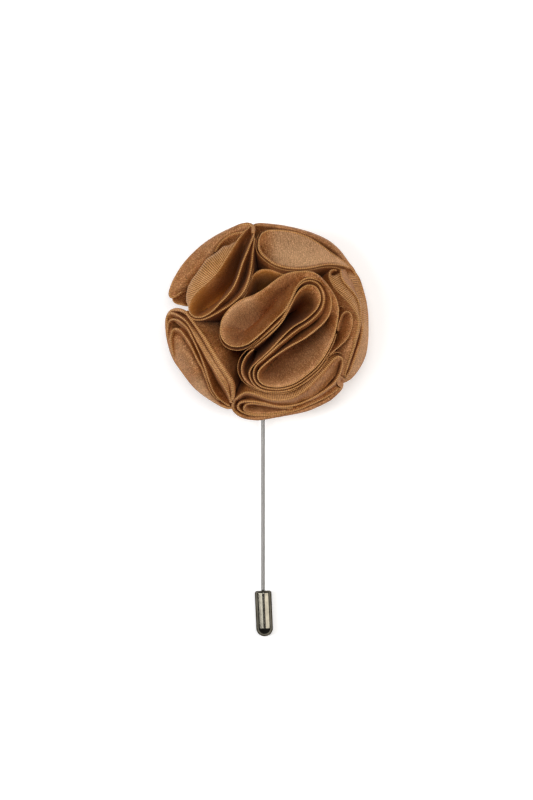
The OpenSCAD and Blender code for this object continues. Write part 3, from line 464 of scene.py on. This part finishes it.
class Shade:
    """A socket of a material, so that sums on it are written as Python."""

    def __init__(self, tree, socket=None):
        self.tree = tree
        self.socket = socket

    def node(self, kind, settings=(), inputs=(), out=0):
        """Adds a node with its settings, values and links, and gives one of its outputs."""
        node = self.tree.nodes.new(kind)
        for name, value in dict(settings).items():
            setattr(node, name, value)
        for name, value in dict(inputs).items():
            if isinstance(value, Shade):
                self.tree.links.new(value.socket, node.inputs[name])
            else:
                node.inputs[name].default_value = value
        return Shade(self.tree, node.outputs[out])

    def math(self, operation, *values):
        return self.node("ShaderNodeMath", {"operation": operation}, dict(enumerate(values)))

    def __add__(self, other):
        return self.math("ADD", self, other)

    __radd__ = __add__

    def __mul__(self, other):
        return self.math("MULTIPLY", self, other)

    __rmul__ = __mul__

    def __sub__(self, other):
        return self.math("SUBTRACT", self, other)

    def __rsub__(self, other):
        return self.math("SUBTRACT", other, self)

    def wave(self):
        """Goes from 0 to 1 and back, with this as its angle."""
        return self.math("SINE", self) * 0.5 + 0.5

    def ramp(self, low, high):
        """Goes from 0 to 1, smoothly, as the value goes from low to high."""
        return self.node("ShaderNodeMapRange", {"interpolation_type": "SMOOTHSTEP"},
                         {"Value": self, "From Min": low, "From Max": high})

    def mix(self, first, second):
        """Mixes two colours by this value."""
        return self.node("ShaderNodeMix", {"data_type": "RGBA", "clamp_factor": True},
                         {"Factor": self, 6: first, 7: second}, out=2)

    def tones(self, colour, dark, bright):
        """Mixes a darker and a brighter tone of a colour by this value."""
        return self.mix(rgba(colour, dark), rgba(colour, bright))

    def tinted(self, tint):
        """Multiplies this colour by another."""
        return self.node("ShaderNodeMix", {"data_type": "RGBA", "blend_type": "MULTIPLY"},
                         {"Factor": 1.0, 6: self, 7: tint}, out=2)

    def place(self):
        """The place on the piece itself."""
        return self.node("ShaderNodeTexCoord", out=3)

    def noise(self, size, detail=2, rough=0.5, stretch=(1, 1, 1)):
        """Clouds of this size on these coordinates, stretched the other way round."""
        place = self.node("ShaderNodeMapping", {}, {"Vector": self, "Scale": stretch})
        return self.node("ShaderNodeTexNoise", {}, {"Vector": place, "Scale": 1 / size,
                                                    "Detail": detail, "Roughness": rough})

    def bump(self, strength, distance):
        """Dents in the surface, with this as its height."""
        return self.node("ShaderNodeBump", {}, {"Strength": strength, "Distance": distance,
                                                "Height": self})


def finish(name, constants, paint=None):
    """A material whose shader has these constants; paint gives what changes over the surface."""
    material = bpy.data.materials.new(name)
    material.use_nodes = True
    tree = material.node_tree
    shader = next(n for n in tree.nodes if n.type == "BSDF_PRINCIPLED")
    for socket, value in constants.items():
        shader.inputs[socket].default_value = value
    if paint:
        for socket, value in paint(Shade(tree)).items():
            tree.links.new(value.socket, shader.inputs[socket])
    return material


def satin_finish(sizes):
    def paint(shade):
        cloth = shade.node("ShaderNodeUVMap", {"uv_map": "cloth"})
        place = shade.place()
        along, down = (shade.node("ShaderNodeSeparateXYZ", {}, {"Vector": cloth}, out=axis)
                       for axis in (0, 1))
        ribbed, lit, painted_glow = (shade.node("ShaderNodeAttribute", {"attribute_name": name}, out=2)
                             for name in EFFECTS)
        depth = down.math("ABSOLUTE", down)
        # The weave: ribs down the cloth crossed by finer ones, and its uneven threads
        turns = 2 * math.pi / sizes.rib
        rib = (along * turns).wave()
        cross = (down * turns + along * (2 * math.pi / (2.2 * MM))).wave()
        threads = cloth.noise(0.4 * MM, 2, 0.6, (1, 0.3, 1))
        rim = 1 - depth.ramp(0.1 * MM, 1.2 * MM)
        shown = ribbed * 1.7 + rim * 0.7 + 0.25
        weave = (rib * 0.65 + cross * 0.35 - 0.5) * shown + (threads - 0.5) * 0.6
        # Glints of the threads, streaks where the cloth is gathered, clouds where it was pressed
        glint = place.noise(0.27 * MM, 2, 0.75)
        streak = cloth.noise(2.4 * MM, 3, 0.55, (1, 0.1, 1))
        cloud = place.noise(6 * MM)
        tone = weave + (glint - 0.5) * 1.7 + (streak - 0.5) * 0.2 + (cloud - 0.5) * 0.35 + 0.5
        body = tone.ramp(0, 1).tones(sizes.colour, 0.35, 1.65)
        # Threads of slightly other hues, then painted shade deep in the folds and a painted glow inside
        # some
        hue = place.noise(0.45 * MM, 1).ramp(0.35, 0.65)
        body = body.tinted(hue.mix((0.95, 1.03, 0.85, 1), (1.05, 0.97, 1.18, 1)))
        # Painted shade: the colour goes toward the fold shade colour the deeper it lies under the fold,
        # except on lit faces
        open_up = (1 - depth.ramp(3 * MM, 15 * MM)) * (1 - lit) + lit
        body = ((1 - open_up) * 0.75).mix(body, rgba(sizes.painted_shade_and_glow_colour))
        # Painted glow: a brighter, warmer colour inside the folds marked with it
        body = (painted_glow * (0.7 + tone * 0.3)).mix(body, rgba(sizes.painted_glow_colour))
        # Painted highlights: bright threads at the folds' edges and on ribbed cloth, then a painted sheen
        # of haze and painted specks of gloss
        edge = 1 - depth.ramp(0.1 * MM, 0.4 * MM)
        fold_edge_highlight = edge * (rib * 0.6 + 0.2) * (1 - ribbed * 0.6)
        bright = fold_edge_highlight + ribbed * rib * (cross * 0.6 + 0.34)
        body = bright.mix(body, rgba(sizes.edge_highlight_colour))
        # Painted sheen: a paler haze of gloss colour on faces that lie open, strongest where lit
        haze = (cloud.ramp(0.35, 0.7) * 0.14 + lit * lit * 0.5) * open_up
        body = haze.mix(body, tone.ramp(0, 1).tones(sizes.gloss_colour, 0.62, 1.3))
        # Painted highlights: specks of gloss colour where the grain is brightest
        specks = (glint * 0.8 + threads * 0.2).ramp(0.52, 0.68) * open_up * (0.46 + lit * 0.3)
        colour = specks.mix(body, rgba(sizes.gloss_colour, 1.3))
        dents = (weave * 0.7 + glint * 0.6 + streak * 1.2).bump(0.45, 0.12 * MM)
        # Painted glow: the satin gives off a faint light of its fold shade colour next to its folds, where
        # thin cloth would let light pass
        emitted_glow = 1 - depth.ramp(1 * MM, 6 * MM)
        return {"Base Color": colour, "Roughness": 0.4 + cloud * 0.12 + glint * 0.14,
                "Normal": dents,
                "Emission Color": emitted_glow.mix((0, 0, 0, 1), rgba(sizes.painted_shade_and_glow_colour))}

    # Emission Strength sets how strong the painted glow next to the folds is
    constants = {
        "Metallic": 0.2, "Specular IOR Level": 0.45, "Specular Tint": (1, 0.75, 0.5, 1),
        "Sheen Weight": 0.03, "Sheen Roughness": 0.35, "Sheen Tint": rgba(sizes.sheen),
        "Emission Strength": 0.065}
    return finish("satin_weave", constants, paint)


def felt_finish(hardware):
    def paint(shade):
        place = shade.place()
        long_fibre = place.noise(0.5 * MM, 4, 0.7, (1, 0.35, 1))
        fibre = long_fibre * 0.5 + place.noise(0.4 * MM, 3, 0.7) * 0.5
        tone = (fibre * 0.7 + place.noise(5 * MM) * 0.3).ramp(0.3, 0.7)
        return {"Base Color": tone.tones(hardware.felt, 0.6, 1.5),
                "Roughness": 0.85 + fibre * 0.12, "Normal": fibre.bump(0.8, 0.2 * MM)}

    return finish("felt", {"Sheen Weight": 0.4, "Sheen Roughness": 0.6}, paint)


def steel_finish(hardware):
    def paint(shade):
        place = shade.place()
        drawn = place.noise(0.08 * MM, 2, 0.6, (1, 0.02, 1))
        cloud = place.noise(3 * MM, 2, 0.5, (1, 0.2, 1))
        tone = (drawn * 0.6 + cloud * 0.4).ramp(0.3, 0.7)
        return {"Base Color": tone.tones(hardware.steel, 0.8, 1.15),
                "Roughness": 0.26 + cloud * 0.16, "Normal": drawn.bump(0.25, 0.02 * MM)}

    return finish("steel", {"Metallic": 1}, paint)


def nickel_finish(hardware):
    def paint(shade):
        place = shade.place()
        cloud = place.noise(2.5 * MM, 3, 0.6)
        return {"Base Color": cloud.ramp(0.35, 0.7).tones(hardware.nickel, 0.85, 1.2),
                "Roughness": 0.08 + cloud * 0.08,
                "Normal": place.noise(1.2 * MM).bump(0.05, 0.05 * MM)}

    constants = {"Metallic": 1, "Specular Tint": (0.12, 0.1, 0.08, 1)}
    return finish("black_nickel", constants, paint)


def smooth(part):
    """Eases a share in and out."""
    return part * part * (3 - 2 * part)


def between(first, second, part):
    return first + part * (second - first)


def shares(value):
    """Hundredths as shares, for one number or for a place."""
    if isinstance(value, tuple):
        return tuple(shares(part) for part in value)
    return value / 100


def keys_of(layer, ply):
    """A ply's keys in full: (row, rise, foot, bow out, bow up), in shares."""
    keys = []
    for row, *rest in layer[ply]:
        if ply == "near":
            rest = [0, *rest]
        rest += [0] * (4 - len(rest))
        keys.append((row, *(shares(part) for part in rest)))
    if layer.get("closed"):
        keys.append((len(layer["rim"]), *keys[0][1:]))
    return keys


def keys_at(keys, row):
    """The two keys round a row of the rim, and how far the row is from the first to the second."""
    for low, high in zip(keys, keys[1:]):
        if row <= high[0]:
            return low, high, smooth((row - low[0]) / (high[0] - low[0]))
    return keys[-1], keys[-1], 0


def curve(a, b, c, d, t):
    """A smooth curve's point from b to c, with a and d as the points before and after."""
    cubic = 3 * b - a - 3 * c + d
    return (2 * b + (c - a) * t + (2 * a - 5 * b + 4 * c - d) * t * t + cubic * t ** 3) / 2


def rim_line(rows, closed, sizes):
    """The rim as evenly spaced points, each with its row of the layer, and the whole length."""
    rows = [Vector(shares(row)) * sizes.flower_r for row in rows]
    count = len(rows)

    def row(index):
        if closed:
            return rows[index % count]
        if index < 0:
            return 2 * rows[0] - rows[1]
        if index >= count:
            return 2 * rows[-1] - rows[-2]
        return rows[index]

    fine = []
    for index in range(count if closed else count - 1):
        corners = [row(index + k) for k in (-1, 0, 1, 2)]
        fine += [curve(*corners, step / RIM_STEPS) for step in range(RIM_STEPS)]
    fine.append(row(count) if closed else rows[-1])
    far = [0]
    for first, second in zip(fine, fine[1:]):
        far.append(far[-1] + (second - first).length)
    spans = max(4, round(far[-1] / sizes.step))
    points = []
    index = 0
    for span in range(spans + 1):
        want = far[-1] * span / spans
        while index < len(far) - 2 and far[index + 1] < want:
            index += 1
        share = (want - far[index]) / (far[index + 1] - far[index])
        points.append((fine[index].lerp(fine[index + 1], share), (index + share) / RIM_STEPS))
    return points, far[-1]


def middle_of(sizes):
    return Vector(MIDDLE) * sizes.flower_r


def foot_of(foot, rim, top, side, sizes):
    """A ply's foot: a share of the rim's way from the middle, a place, or beside the rim."""
    if not isinstance(foot, tuple):
        middle = middle_of(sizes)
        return (middle + foot * (rim - middle)).to_3d() + Vector((0, 0, sizes.root_h))
    if len(foot) == 3:
        return Vector(foot) * sizes.flower_r + Vector((0, 0, sizes.root_h))
    aside, drop = foot
    return Vector((*rim, top)) + (side * aside - Vector((0, 0, drop))) * sizes.flower_r


def ply_points(keys, row, rim, top, side, end, ease, sizes):
    """Points of a ply from its foot to its end at the fold. Ease levels it out at both."""
    low, high, part = keys_at(keys, row)
    foot, next_foot = (foot_of(key[2], rim, top, side, sizes) for key in (low, high))
    foot = foot.lerp(next_foot, part)
    out, up = (between(low[k], high[k], part) * sizes.flower_r for k in (3, 4))
    bow = (rim - middle_of(sizes)).normalized().to_3d() * out + Vector((0, 0, up))
    points = []
    for level in LEVELS:
        point = foot.lerp(end, level) + bow * 4 * level * (1 - level)
        point.z += ease * (smooth(level) - level) * (end.z - foot.z)
        points.append(point)
    return points


def roll_at(roll, row):
    """Radius of a fold at a row of its rim, from one radius or from keys."""
    if not isinstance(roll, list):
        return roll * MM
    low, high, part = keys_at(roll, row)
    return between(low[1], high[1], part) * MM


def section(layer, plies, rim, row, side, sizes):
    """A layer's points across its fold: up the near ply, round the fold and down the other."""
    low, high, part = keys_at(plies["felt"], row)
    far = (rim - middle_of(sizes)).length / (sizes.flower_r * sizes.dome_share)
    dome = sizes.edge_h + (sizes.crown_h - sizes.edge_h) * math.sqrt(max(0, 1 - far * far))
    top = dome + between(low[1], high[1], part) * sizes.flower_r
    if "near" not in plies:
        end = Vector((*rim, top))
        return ply_points(plies["felt"], row, rim, top, side, end, 0, sizes)[::-1]
    roll = roll_at(layer["roll"], row)
    heart = Vector((*rim, top - roll))
    ease = layer.get("ease", 1)
    near = ply_points(plies["near"], row, rim, top, -side, heart - side * roll, ease, sizes)
    felt = ply_points(plies["felt"], row, rim, top, side, heart + side * roll, 0, sizes)
    angles = [math.pi * turn for turn in TURNS]
    fold = [heart + roll * (Vector((0, 0, 1)) * math.sin(angle) - side * math.cos(angle))
            for angle in angles]
    return near + fold + felt[::-1]


def beside(index, step, last, closed):
    """The index that comes before or after, on a line that is closed or ends at its last."""
    if closed:
        return (index + step) % last
    return min(max(index + step, 0), last)


def felt_sides(layer, rim):
    """For each point of the rim, the level direction across it toward the ply on the felt."""
    closed = layer.get("closed", False)
    turn = -1 if layer.get("felt_on_left") else 1
    last = len(rim) - 1
    sides = []
    for index in range(len(rim)):
        before, after = (rim[beside(index, step, last, closed)][0] for step in (-1, 1))
        along = (after - before).normalized()
        sides.append(turn * Vector((along.y, -along.x, 0)))
    return sides


def shown_at(layer, effect, row, level):
    """How clearly an effect shows at a place of a layer, from 0 to 1: ribs, painted gloss or painted glow.
    """
    here = "felt"
    if "near" in layer and level < len(LEVELS):
        here = "near"
    elif "near" in layer and level < len(LEVELS) + len(TURNS):
        here = "fold"
    return max((most * max(0, min(1, (row - first) / EFFECT_FADE, (last - row) / EFFECT_FADE))
                for part, first, last, most in layer.get(effect, ()) if part == here), default=0)


def add_layer(bm, layer, seed, sizes):
    """Lays a flat grid of cloth into a layer's shape. Gives its length and mean width."""
    closed = layer.get("closed", False)
    rim, length = rim_line(layer["rim"], closed, sizes)
    plies = {ply: keys_of(layer, ply) for ply in ("near", "felt") if ply in layer}
    points = [section(layer, plies, place, row, side, sizes)
              for (place, row), side in zip(rim, felt_sides(layer, rim))]
    columns = len(rim) - 1
    levels = len(points[0]) - 1
    # How far down from the fold each row of the mesh is, which is less than 0 on the near ply
    crest = len(LEVELS) + len(TURNS) // 2 if "near" in layer else 0
    depths = []
    for line in points:
        steps = [0]
        for first, second in zip(line, line[1:]):
            steps.append(steps[-1] + (second - first).length)
        depths.append([step - steps[crest] for step in steps])
    uv = bm.loops.layers.uv.get("cloth") or bm.loops.layers.uv.new("cloth")
    floats = bm.verts.layers.float
    effects = {name: floats.get(name) or floats.new(name) for name in EFFECTS}
    made = bmesh.ops.create_grid(bm, x_segments=columns, y_segments=levels, size=1)["verts"]
    for vert in made:
        column = round((vert.co.x + 1) / 2 * columns)
        level = round((vert.co.y + 1) / 2 * levels)
        depth = depths[column][level]
        for loop in vert.link_loops:
            loop[uv].uv = length * column / columns, depth
        for name in EFFECTS:
            vert[effects[name]] = shown_at(layer, name, rim[column][1], level)
        before, after = (points[beside(column, step, columns, closed)][level] for step in (-1, 1))
        under, over = (points[column][beside(level, step, levels, False)] for step in (-1, 1))
        square = (after - before).cross(over - under).normalized()
        point = points[column % columns if closed else column][level]
        place = Vector((point.x, point.y, point.z * DENT_UPRIGHT))
        place += Vector((seed, 0, seed)) * DENT_SHIFT * MM
        fine = noise.noise(place / FINE_DENT)
        dent = noise.noise(place / DENT) + FINE_DENT_SHARE * fine
        fade = DENT_AT_FOLD + (1 - DENT_AT_FOLD) * min(1, abs(depth) / DENT_FULL)
        vert.co = point + square * dent * sizes.crease * fade
    if closed:
        bmesh.ops.remove_doubles(bm, verts=made, dist=SEAM)
    return length, sum(line[-1] - line[0] for line in depths) / len(depths)


def add_object(name, data):
    """Puts an object of this name and data into the scene."""
    thing = bpy.data.objects.new(name, data)
    bpy.context.scene.collection.objects.link(thing)
    return thing


def mesh_object(name, bm):
    mesh = bpy.data.meshes.new(name)
    bm.to_mesh(mesh)
    bm.free()
    return add_object(name, mesh)


def satin_piece(name, sizes):
    """Makes a petal: its layers of cloth as one piece, standing for its node."""
    bm = bmesh.new()
    seed = sorted(PETALS).index(name)
    lengths = []
    area = 0
    for index, layer in enumerate(PETALS[name]):
        length, width = add_layer(bm, layer, seed + index * 0.37, sizes)
        lengths.append(length)
        area += length * width
    piece = mesh_object("satin_" + name, bm)
    for polygon in piece.data.polygons:
        polygon.use_smooth = True
    solid = piece.modifiers.new("Thickness", "SOLIDIFY")
    solid.thickness = sizes.cloth_t
    solid.offset = 0
    round_off = piece.modifiers.new("Round", "SUBSURF")
    round_off.levels = 1
    round_off.render_levels = 1
    material = bpy.data.materials.get("satin_weave") or satin_finish(sizes)
    piece.data.materials.append(material)
    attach(piece, "flower")
    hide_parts(name)
    area / sum(lengths)


def dress(node, material):
    """Gives a node of the CAD this material alone."""
    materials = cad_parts[node].data.materials
    materials.clear()
    materials.append(material)


class LAPEL_OT_left_petals(bpy.types.Operator):
    """Makes the cupped petal and the fanned petal on the left"""

    bl_idname = "lapel.left_petals"
    bl_label = "Left petals"

    def execute(self, context):
        for name in ("upper_left_petal", "lower_left_petal", "lower_left_second_layer",
                     "lower_left_third_layer"):
            satin_piece(name, context.scene.lapel_satin)
        return {"FINISHED"}


class LAPEL_OT_right_petals(bpy.types.Operator):
    """Makes the petals at the top and on the right"""

    bl_idname = "lapel.right_petals"
    bl_label = "Right petals"

    def execute(self, context):
        for name in ("upper_right_petal", "top_petal", "right_petal", "right_inner_petal",
                     "right_bud"):
            satin_piece(name, context.scene.lapel_satin)
        return {"FINISHED"}


class LAPEL_OT_bottom_petals(bpy.types.Operator):
    """Makes the long fold under the centre and the edge below it"""

    bl_idname = "lapel.bottom_petals"
    bl_label = "Bottom petals"

    def execute(self, context):
        for name in ("bottom_petal", "bottom_edge_petal"):
            satin_piece(name, context.scene.lapel_satin)
        return {"FINISHED"}


class LAPEL_OT_centre(bpy.types.Operator):
    """Makes the doubled ruffle in the middle and the folds against it"""

    bl_idname = "lapel.centre"
    bl_label = "Centre ruffle"

    def execute(self, context):
        for name in ("centre_ruffle", "centre_lower_layer", "back_fold"):
            satin_piece(name, context.scene.lapel_satin)
        return {"FINISHED"}


class LAPEL_OT_backing(bpy.types.Operator):
    """Gives the felt backing its finish"""

    bl_idname = "lapel.backing"
    bl_label = "Felt backing"

    def execute(self, context):
        dress("backing", felt_finish(context.scene.lapel_hardware))
        return {"FINISHED"}


class LAPEL_OT_hardware(bpy.types.Operator):
    """Gives the stick pin and the clutch their finishes"""

    bl_idname = "lapel.hardware"
    bl_label = "Pin and clutch"

    def execute(self, context):
        dress("stick_pin", steel_finish(context.scene.lapel_hardware))
        dress("clutch", nickel_finish(context.scene.lapel_hardware))
        return {"FINISHED"}


def softbox(name, place, size, power, colour=(1, 1, 1)):
    light = bpy.data.lights.new(name, "AREA")
    light.shape = "RECTANGLE"
    light.size, light.size_y = size
    light.energy = power
    light.color = colour
    lamp = add_object(name, light)
    lamp.location = place
    toward = Vector(LIT_PLACE) - Vector(place)
    lamp.rotation_euler = toward.to_track_quat("-Z", "Y").to_euler()


class LAPEL_OT_stage(bpy.types.Operator):
    """Lays the floor, sets the lights and looks straight down on the pin"""

    bl_idname = "lapel.stage"
    bl_label = "Floor, light and camera"

    def execute(self, context):
        stage = context.scene.lapel_stage
        bm = bmesh.new()
        bmesh.ops.create_grid(bm, x_segments=1, y_segments=1, size=3)
        floor = mesh_object("floor", bm)
        floor.data.transform(Matrix.Translation((0, 0, -0.05 * MM)))
        floor.data.materials.append(finish("floor", {
            "Base Color": rgba(stage.floor), "Roughness": 0.9, "Specular IOR Level": 0.1,
            "Emission Color": rgba(stage.floor), "Emission Strength": 0.3}))

        softbox("left_box", (-0.5, -0.02, 0.55), (0.2, 0.75), 3.6)
        softbox("right_box", (0.52, -0.02, 0.5), (0.24, 0.75), 2.9, (1, 0.96, 0.9))
        softbox("top_box", (0, 0.25, 1.7), (0.6, 0.6), 10)
        world = bpy.data.worlds.new("room")
        world.use_nodes = True
        ground = next(n for n in world.node_tree.nodes if n.type == "BACKGROUND")
        ground.inputs["Color"].default_value = (1, 1, 1, 1)
        ground.inputs["Strength"].default_value = 0.08
        context.scene.world = world

        camera = bpy.data.cameras.new("camera")
        camera.lens = camera.sensor_width * stage.camera_d / stage.view_h
        camera.clip_start = 0.1
        eye = add_object("camera", camera)
        eye.location = (*VIEW_MIDDLE, stage.focus_h + stage.camera_d)
        context.scene.camera = eye
        context.scene.view_settings.view_transform = "Standard"
        return {"FINISHED"}


class LAPEL_PT_panel(bpy.types.Panel):
    """Sizes, colours and steps of the lapel pin"""

    bl_label = "Lapel pin"
    bl_idname = "LAPEL_PT_panel"
    bl_space_type = "VIEW_3D"
    bl_region_type = "UI"
    bl_category = "Lapel Pin"

    def draw(self, context):
        for group in (context.scene.lapel_satin, context.scene.lapel_hardware, context.scene.lapel_stage):
            box = self.layout.box()
            for name in group.__annotations__:
                box.prop(group, name)
        for operator in OPERATORS:
            self.layout.operator(operator.bl_idname)


OPERATORS = (
    LAPEL_OT_left_petals,
    LAPEL_OT_right_petals,
    LAPEL_OT_bottom_petals,
    LAPEL_OT_centre,
    LAPEL_OT_backing,
    LAPEL_OT_hardware,
    LAPEL_OT_stage,
)
CLASSES = (SatinSizes, HardwareSizes, StageSizes, *OPERATORS, LAPEL_PT_panel)


def register():
    for kind in CLASSES:
        bpy.utils.register_class(kind)
    bpy.types.Scene.lapel_satin = bpy.props.PointerProperty(type=SatinSizes)
    bpy.types.Scene.lapel_hardware = bpy.props.PointerProperty(type=HardwareSizes)
    bpy.types.Scene.lapel_stage = bpy.props.PointerProperty(type=StageSizes)


def unregister():
    del bpy.types.Scene.lapel_stage
    del bpy.types.Scene.lapel_hardware
    del bpy.types.Scene.lapel_satin
    for kind in reversed(CLASSES):
        bpy.utils.unregister_class(kind)


def main():
    register()
    for operator in OPERATORS:
        group, name = operator.bl_idname.split(".")
        getattr(getattr(bpy.ops, group), name)()


if __name__ == "__main__":
    main()
